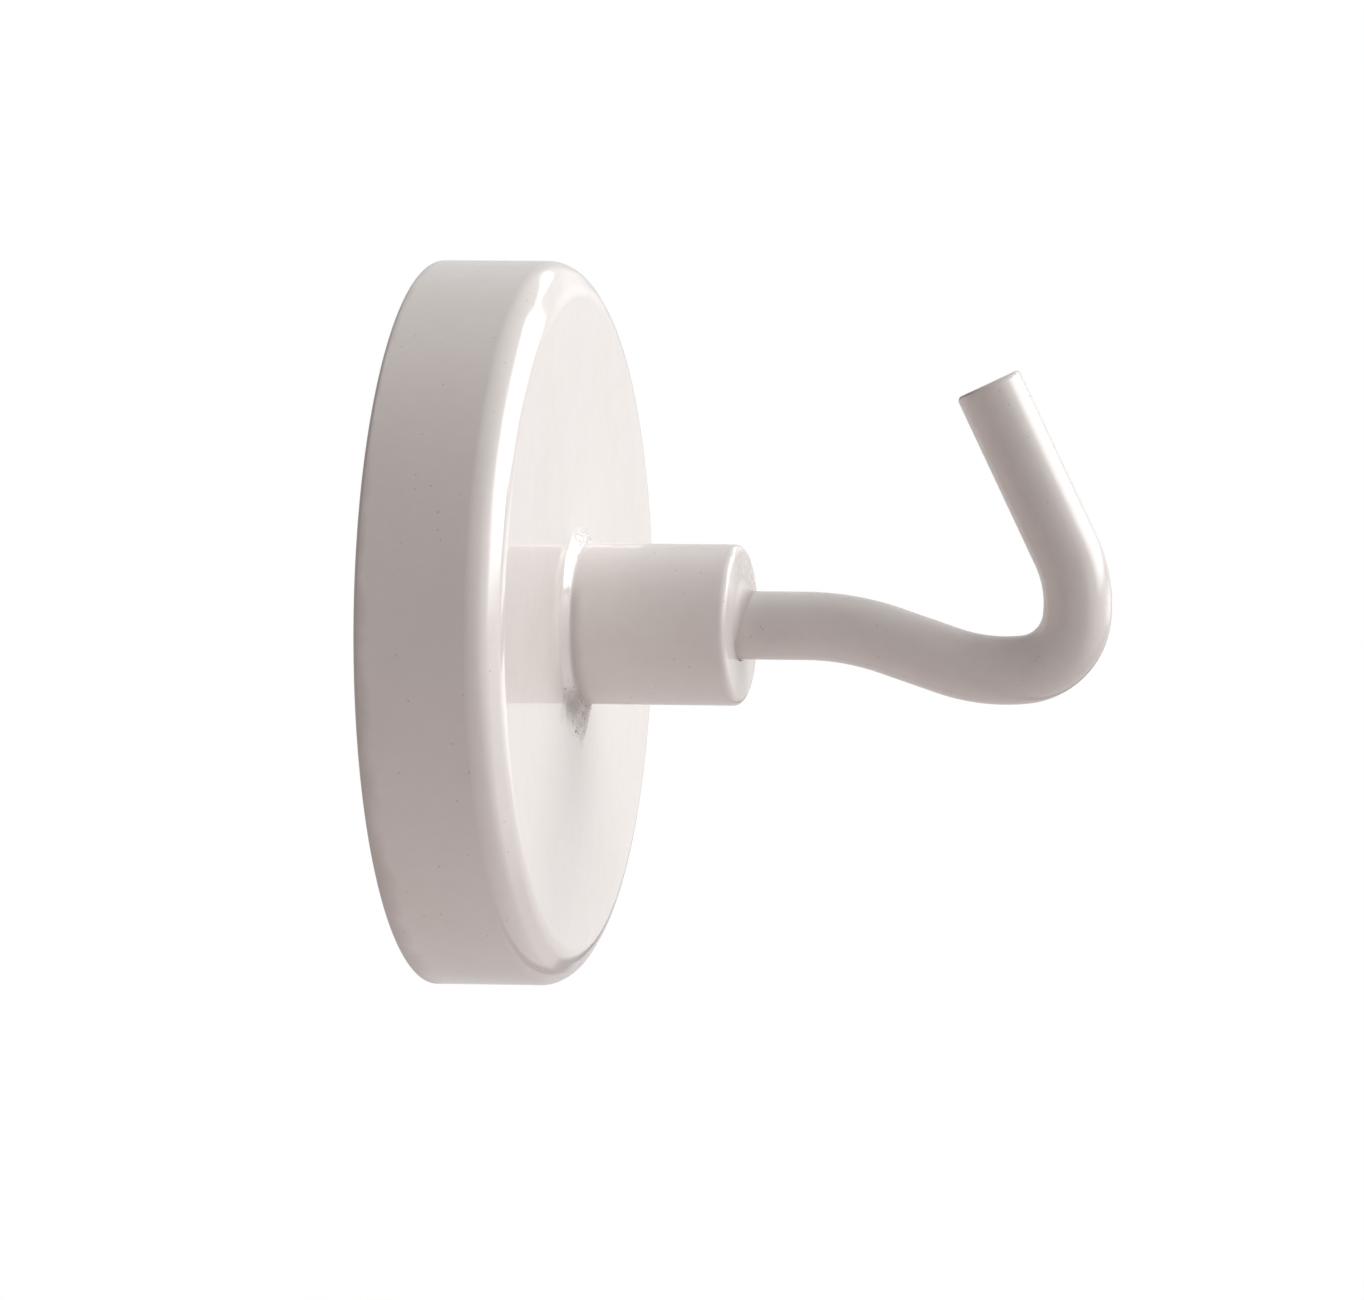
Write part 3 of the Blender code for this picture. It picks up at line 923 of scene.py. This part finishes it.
def seenFrom(nodes, links, fill, gloss):
    # the lens sees white, directly or through something clear; the gloss has its own view,
    # and the matt colour gets the fill
    path = nodes.new("ShaderNodeLightPath")
    lens = path.outputs["Is Camera Ray"]
    through = path.outputs["Is Transmission Ray"]
    colour = blendColour(nodes, links, path.outputs["Is Glossy Ray"], fill, gloss)
    return blendColour(nodes, links, maths(nodes, links, 'MAXIMUM', lens, through), colour, white)


def frontGlow(nodes, links, back, settings):
    # back is how far a direction points to the wall; the light sweep stands straight in front of the pot
    return spread(nodes, links, back, *settings["frontTurn"], 0.0, settings["glossFront"])


def fromMiddle(nodes, links):
    # distance from the middle of the pot's back, in metres
    return farFrom(nodes, links, (0, 0, 0), (1, 1, 1))


def floorGloss(nodes, links, settings):
    # the seam runs across the floor just in front of the pot's back, and fades in towards the far side
    across = placeAlong(nodes, links, xAxis)
    depth = placeAlong(nodes, links, yAxis)
    bent = maths(nodes, links, 'MINIMUM', across, settings["seamBendTo"])
    bend = multiply(nodes, links, bent, settings["seamBend"])
    side = maths(nodes, links, 'ADD', maths(nodes, links, 'ADD', depth, bend), settings["seamOut"])
    soft = settings["wallSoft"]
    behind = spread(nodes, links, side, -soft, soft, 1.0, settings["glossBehind"])
    width = spread(nodes, links, across, *settings["seamWidthAt"], *settings["seamWidth"])
    off = maths(nodes, links, 'DIVIDE', maths(nodes, links, 'ABSOLUTE', side, 0), width)
    dark = spread(nodes, links, across, *settings["seamShareAt"], *settings["seamShare"])
    seam = multiply(nodes, links, spread(nodes, links, off, *settings["seamEdge"]), dark)
    tone = multiply(nodes, links, behind, maths(nodes, links, 'SUBTRACT', 1, seam))
    back = maths(nodes, links, 'DIVIDE', depth, fromMiddle(nodes, links))
    return maths(nodes, links, 'ADD', tone, frontGlow(nodes, links, back, settings))


def addFloor(settings):
    bm = bmesh.new()
    drop = Matrix.Translation((0, 0, -settings["floorDrop"]))
    bmesh.ops.create_grid(bm, x_segments=1, y_segments=1, size=settings["floorSize"], matrix=drop)
    mesh = bpy.data.meshes.new("studioFloor")
    bm.to_mesh(mesh)
    bm.free()
    floor = bpy.data.objects.new("studioFloor", mesh)
    bpy.context.scene.collection.objects.link(floor)
    material, nodes, links, shader = newMaterial("floorWhite")
    shader.inputs["Base Color"].default_value = (*settings["floorColour"], 1)
    shader.inputs["Roughness"].default_value = settings["floorRoughness"]
    glow = nodes.new("ShaderNodeEmission")
    fill = tuple(part * settings["fillBelow"] for part in settings["fillTint"])
    links.new(seenFrom(nodes, links, fill, floorGloss(nodes, links, settings)), glow.inputs["Color"])
    # under the hook the floor keeps a little of its own shading, with the shadow in it
    share = spread(nodes, links, fromMiddle(nodes, links), settings["shadowNear"], settings["shadowFar"],
                   settings["shadowShare"], 0.0)
    mixed = nodes.new("ShaderNodeMixShader")
    links.new(share, mixed.inputs["Fac"])
    links.new(glow.outputs[0], mixed.inputs[1])
    links.new(shader.outputs[0], mixed.inputs[2])
    links.new(mixed.outputs[0], nodes["Material Output"].inputs["Surface"])
    mesh.materials.append(material)


def lightWorld(settings):
    world = bpy.data.worlds.new("studioWorld")
    bpy.context.scene.world = world
    world.use_nodes = True
    nodes = world.node_tree.nodes
    links = world.node_tree.links
    across, back, up = [placeAlong(nodes, links, axis, "Generated") for axis in (xAxis, yAxis, zAxis)]
    level = 0.0
    for along, way, name in ((across, 1, "fillFarSide"), (back, 1, "fillBehind"), (back, -1, "fillFront")):
        share = maths(nodes, links, 'MAXIMUM', multiply(nodes, links, along, way), 0)
        level = maths(nodes, links, 'ADD', level, multiply(nodes, links, share, settings[name]))
    flat = maths(nodes, links, 'SUBTRACT', 1, maths(nodes, links, 'ABSOLUTE', up, 0))
    above = multiply(nodes, links, maths(nodes, links, 'MAXIMUM', up, 0), settings["fillAbove"])
    strength = maths(nodes, links, 'ADD', multiply(nodes, links, level, flat), above)
    ahead = spread(nodes, links, back, *settings["whiteTurn"])
    tint = blendColour(nodes, links, ahead, settings["fillTint"], white)
    fill = blendColour(nodes, links, strength, black, tint)
    gloss = spread(nodes, links, back, *settings["behindTurn"], 1.0, settings["glossBehind"])
    gloss = maths(nodes, links, 'ADD', gloss, frontGlow(nodes, links, back, settings))
    links.new(seenFrom(nodes, links, fill, gloss), nodes["Background"].inputs["Color"])


def addSoftbox(name, settings):
    # an upright panel, placed by where its edges stand as seen from the hook
    facing = math.radians(settings["facing"])
    towards = Vector((math.sin(facing), -math.cos(facing), 0))
    tilt = Matrix.Rotation(math.radians(settings.get("tilt", 0)), 3, towards)
    level = tilt @ Vector((math.cos(facing), math.sin(facing), 0))
    upwards = tilt @ Vector((0, 0, 1))
    begins = {}
    full = {}
    for side, turn in (("left", facing), ("right", facing), ("low", 0), ("high", 0)):
        beginsAt, fullAt = settings[side]
        begins[side] = math.tan(math.radians(beginsAt) - turn) * softboxDistance
        full[side] = math.tan(math.radians(fullAt) - turn) * softboxDistance
    data = bpy.data.lights.new(name, 'AREA')
    data.shape = 'RECTANGLE'
    data.size = begins["right"] - begins["left"]
    data.size_y = begins["high"] - begins["low"]
    data.energy = settings["radiance"] * math.pi * data.size * data.size_y
    data.color = softboxColour
    data.use_nodes = True
    nodes, links = data.node_tree.nodes, data.node_tree.links
    shine = 1.0
    for axis, first, last, size in ((0, "left", "right", data.size), (1, "low", "high", data.size_y)):
        place = nodes.new("ShaderNodeNewGeometry")
        split = nodes.new("ShaderNodeSeparateXYZ")
        links.new(place.outputs["Parametric"], split.inputs[0])
        along = split.outputs[axis]
        rises = spread(nodes, links, along, 0, (full[first] - begins[first]) / size)
        falls = spread(nodes, links, along, 1, 1 + (full[last] - begins[last]) / size)
        shine = multiply(nodes, links, shine, multiply(nodes, links, rises, falls))
    links.new(shine, nodes["Emission"].inputs["Strength"])
    lamp = bpy.data.objects.new(name, data)
    lamp.visible_glossy = settings["shows"]
    lamp.visible_diffuse = not settings["shows"]
    lamp.visible_camera = False
    middle = level * (begins["left"] + begins["right"]) / 2 + upwards * (begins["low"] + begins["high"]) / 2
    turn = Matrix((level, upwards, towards)).transposed().to_4x4()
    lamp.matrix_world = Matrix.Translation(towards * softboxDistance + middle) @ turn
    bpy.context.scene.collection.objects.link(lamp)


def lightStudio():
    lightWorld(studioSet)
    addFloor(studioSet)
    for name, settings in softboxSet.items():
        addSoftbox(name, settings)
    bpy.context.scene.view_settings.view_transform = 'Standard'
    print("studio lit with", len(softboxSet), "softboxes")


addCamera(cameraSet)
makePot(potSet)
bossSurface = makeBoss(bossSet)
makeMouthLacquer(mouthSet)
makeHook(hookSet)
makeMagnet(magnetSet)
makeResinRing(resinSet)
makeSpecks(speckSet, bossSurface)
lightStudio()
